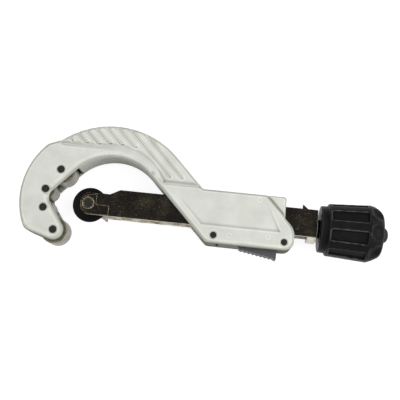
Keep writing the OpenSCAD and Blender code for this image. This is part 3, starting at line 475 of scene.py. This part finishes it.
# Greased rolled thread: bright steel under a thin film of oil that darkens it and adds gloss.
oiled, shader, in_mm = start_finish("oiled_thread_steel", {
    "Metallic": 1.0, "Coat Weight": 0.3, "Coat Roughness": 0.15})
film = add(oiled, "TexNoise", {"Vector": in_mm, "Scale": 1 / FILM_MM, "Detail": 4.0})
tone = add(oiled, "ValToRGB", {"Fac": film}, stops=((0.35, "#6d675b"), (0.65, "#a9a498")))
rough = add(oiled, "MapRange", {"Value": film, "To Min": 0.22, "To Max": 0.42})
connect(oiled, shader, {"Base Color": tone, "Roughness": rough})
crisp_copy("feed_screw", "feed_screw_rolled", None, oiled)
for node in ("thrust_washer", "nut_washer"):
    crisp_copy(node, node + "_pressed", WASHER_EDGE, zinc)


# Knob and its nut

# The knob is moulded in black nylon, with eight channels for the fingers and scallops on its end,
# and a domed steel nut holds it on the screw.

MOULD_GRID = 0.0005
END_FADE, END_LIP_LIGHT = 2, 0.2
SPARK_MM, SPARK_DEPTH = 0.7, 0.00003
HANDLING_MM = 12
NUT_EDGE = 0.0002

# Moulded black nylon: a fine spark-eroded texture, drawn at 0.7 mm to show, with a soft sheen. The
# lips of the channels are painted lighter grey as a highlight, and their floors darker as painted shade.
nylon, shader, in_mm = start_finish("moulded_black_nylon", {"IOR": 1.53, "Specular IOR Level": 0.05})
hollow_mark = add(nylon, "Attribute", {}, attribute_name="hollow")
bent = add(nylon, "MapRange", {"Value": hollow_mark.outputs["Fac"], "From Min": -1.0, "From Max": 1.0})
# Painted highlight on the channels' lips and painted shade in their floors.
lip_light_and_floor_shade = add(nylon, "ValToRGB", {"Fac": bent},
           stops=((0.0, "#4b4b4c"), (0.38, "#171718"), (0.6, "#131314"), (1.0, "#080809")))
handling = add(nylon, "TexNoise", {"Vector": in_mm, "Scale": 1 / HANDLING_MM, "Detail": 3.0})
shine = add(nylon, "ValToRGB", {"Fac": handling}, stops=((0.35, "#d9d9d9"), (0.65, "#ffffff")))
tone = add(nylon, "Mix", {"Factor": 1.0, "A": lip_light_and_floor_shade, "B": shine}, data_type="RGBA", blend_type="MULTIPLY")
rough = add(nylon, "MapRange", {"Value": handling, "To Min": 0.3, "To Max": 0.4})
sparks = add(nylon, "TexNoise", {"Vector": in_mm, "Scale": 1 / SPARK_MM, "Detail": 2.0})
bump = add(nylon, "Bump", {"Height": sparks, "Distance": SPARK_DEPTH})
connect(nylon, shader, {"Base Color": tone, "Roughness": rough, "Normal": bump})

# The painted lip highlight is strong on the knob's side, and only a little on its end faces.
knob, mesh = cast_copy("knob", "knob_moulded", MOULD_GRID)
points, facing = read_points(mesh, "co"), read_points(mesh, "normal")
hollow = hollows(mesh, points, facing)
sideways = np.clip(1 - END_FADE * np.abs(facing[:, 0]), END_LIP_LIGHT, 1)
mark_points(mesh, "hollow", np.where(hollow < 0, hollow * sideways, hollow))
mesh.materials.clear()
mesh.materials.append(nylon)
stand_for(knob, "knob")
crisp_copy("knob_nut", "knob_nut_turned", NUT_EDGE, oxide)


# Release lever, half nut and spring

# The thumb lever is moulded in dark grey glass-filled nylon, with teeth for the thumb. It carries
# a cast brass half nut that gears with the screw, and a wire spring round its pin pushes it home.

LEVER_EDGE = 0.0004
FLECK_MM, FLECK_DEPTH = 0.8, 0.00004
PIT_MM = 1.2

# Glass-filled nylon: dark grey and matt, with pale flecks of glass just under 1 mm near the skin.
filled, shader, in_mm = start_finish("glass_filled_nylon", {"IOR": 1.53, "Roughness": 0.55})
flecks = add(filled, "TexNoise", {"Vector": in_mm, "Scale": 1 / FLECK_MM, "Detail": 4.0, "Roughness": 0.7})
tone = add(filled, "ValToRGB", {"Fac": flecks},
           stops=((0.35, "#2c2c2e"), (0.6, "#353537"), (0.78, "#4c4c4e")))
bump = add(filled, "Bump", {"Height": flecks, "Distance": FLECK_DEPTH})
connect(filled, shader, {"Base Color": tone, "Normal": bump})
crisp_copy("thumb_lever", "thumb_lever_moulded", LEVER_EDGE, filled)

# Cast brass: yellow, a little dull, darker in the pits of its cast skin.
brass, shader, in_mm = start_finish("cast_brass", {"Metallic": 1.0})
pits = add(brass, "TexNoise", {"Vector": in_mm, "Scale": 1 / PIT_MM, "Detail": 4.0})
tone = add(brass, "ValToRGB", {"Fac": pits}, stops=((0.35, "#8a6d35"), (0.65, "#c9a55c")))
rough = add(brass, "MapRange", {"Value": pits, "To Min": 0.5, "To Max": 0.3})
connect(brass, shader, {"Base Color": tone, "Roughness": rough})
crisp_copy("half_nut", "half_nut_cast", None, brass)

# The spring is bright music wire, and the screw's oil reaches it too.
crisp_copy("lever_spring", "lever_spring_wire", None, oiled)


# Floor

# The tool lies on its side on a white studio table, on the rim of the knob and the back of the
# hook, so the table is tilted a little against the tool's own axes.

FLOOR_SIZE = 40
FLOOR_GLOW = 0.86
KNOB_REST = Vector((0.214, 0, -0.02362))
HOOK_REST = Vector((-0.0700, 0, -0.0150))


# Gives 1 where the surroundings are looked at, mirrored or seen through something, and 0 elsewhere.
def looked_at(made):
    path = add(made, "LightPath", {})
    seen = add(made, "Math", {0: path.outputs["Is Camera Ray"], 1: path.outputs["Is Glossy Ray"]},
               operation="MAXIMUM")
    return add(made, "Math", {0: seen, 1: path.outputs["Is Transmission Ray"]}, operation="MAXIMUM")


# White painted board: matt, with a glow where it is looked at, so it is white but for the shadow.
white, shader = start_finish("white_painted_board", {
    "Base Color": colour("#8c8c8c"), "Roughness": 0.9, "Specular IOR Level": 0.1,
    "Emission Color": (1, 1, 1, 1)})[:2]
glow = add(white, "Math", {0: looked_at(white), 1: FLOOR_GLOW}, operation="MULTIPLY")
connect(white, shader, {"Emission Strength": glow})
half = FLOOR_SIZE / 2
table = bpy.data.meshes.new("white_table")
table.from_pydata([(-half, -half, 0), (half, -half, 0), (half, half, 0), (-half, half, 0)],
                  [], [(0, 1, 2, 3)])
table.materials.append(white)
floor = bpy.data.objects.new("white_table", table)
bpy.context.scene.collection.objects.link(floor)
run = HOOK_REST - KNOB_REST
floor.location = (KNOB_REST + HOOK_REST) / 2
floor.rotation_euler = (0, math.atan2(-run.z, run.x) + math.pi, 0)


# Light

# Two broad soft lamps stand left and right of the tool, a little towards the handle's top. The rest
# is a white tent, which lights the lever's side more and hardly lights what faces beyond the top.

TENT_NEAR, TENT_FAR = 0.72, 0.05
NEAR_END, FAR_START = -0.1, 0.45
LAMP_WIDTH, LAMP_HEIGHT = 1.5, 1.1
LAMP_AIM = Vector((0.08, 0, 0))
LAMPS = {"right_lamp": ((0.98, 0.1, 0.8), 16.8), "left_lamp": ((-0.82, 0.1, 0.8), 7.6)}

studio = bpy.data.worlds.new("light_tent")
bpy.context.scene.world = studio
studio.use_nodes = True
spot = add(studio, "TexCoord", {})
side = add(studio, "SeparateXYZ", {"Vector": spot.outputs["Generated"]})
tent = add(studio, "MapRange", {
    "Value": side.outputs["Y"], "From Min": NEAR_END, "From Max": FAR_START,
    "To Min": TENT_NEAR, "To Max": TENT_FAR}, interpolation_type="SMOOTHSTEP")
level = add(studio, "Mix", {"Factor": looked_at(studio), "A": tent, "B": 1.0})
connect(studio, studio.node_tree.nodes["Background"], {"Color": (1, 1, 1, 1), "Strength": level})

for name, (place, watts) in LAMPS.items():
    lamp = bpy.data.lights.new(name, "AREA")
    lamp.shape = "RECTANGLE"
    lamp.size, lamp.size_y = LAMP_WIDTH, LAMP_HEIGHT
    lamp.energy = watts
    stand = bpy.data.objects.new(name, lamp)
    stand.location = place
    stand.rotation_euler = (LAMP_AIM - stand.location).to_track_quat("-Z", "Y").to_euler()
    bpy.context.scene.collection.objects.link(stand)


# Camera

# A 72 mm lens looks down on the front cheek from 0.67 m, leaning a little towards the lever's side
# and the knob. The angles and the tool's place put every pin and edge where the photograph has it.

LENS_MM, FILM_MM = 72, 36
SEES_TO = 20
LEAN_X, LEAN_Y, LEAN_Z = -0.1667, 0.0428, 0.1083
TOOL_PLACE = Vector((-0.0751008, 0.0057929, 0.6654772))

# The angles and the place count Y downwards and Z away from the eye, and a camera counts both the
# other way.
flip = Matrix.Diagonal((1, -1, -1))
lean = Matrix.Rotation(LEAN_Z, 3, "Z") @ Matrix.Rotation(LEAN_X, 3, "X") @ Matrix.Rotation(LEAN_Y, 3, "Y")
turn = (lean @ flip).transposed()
camera = bpy.data.objects.new("camera", bpy.data.cameras.new("camera"))
camera.data.lens = LENS_MM
camera.data.sensor_width = FILM_MM
camera.data.clip_end = SEES_TO
camera.matrix_world = Matrix.Translation(-(turn @ TOOL_PLACE)) @ (turn @ flip).to_4x4()
bpy.context.scene.collection.objects.link(camera)
bpy.context.scene.camera = camera
bpy.context.scene.view_settings.view_transform = "Standard"
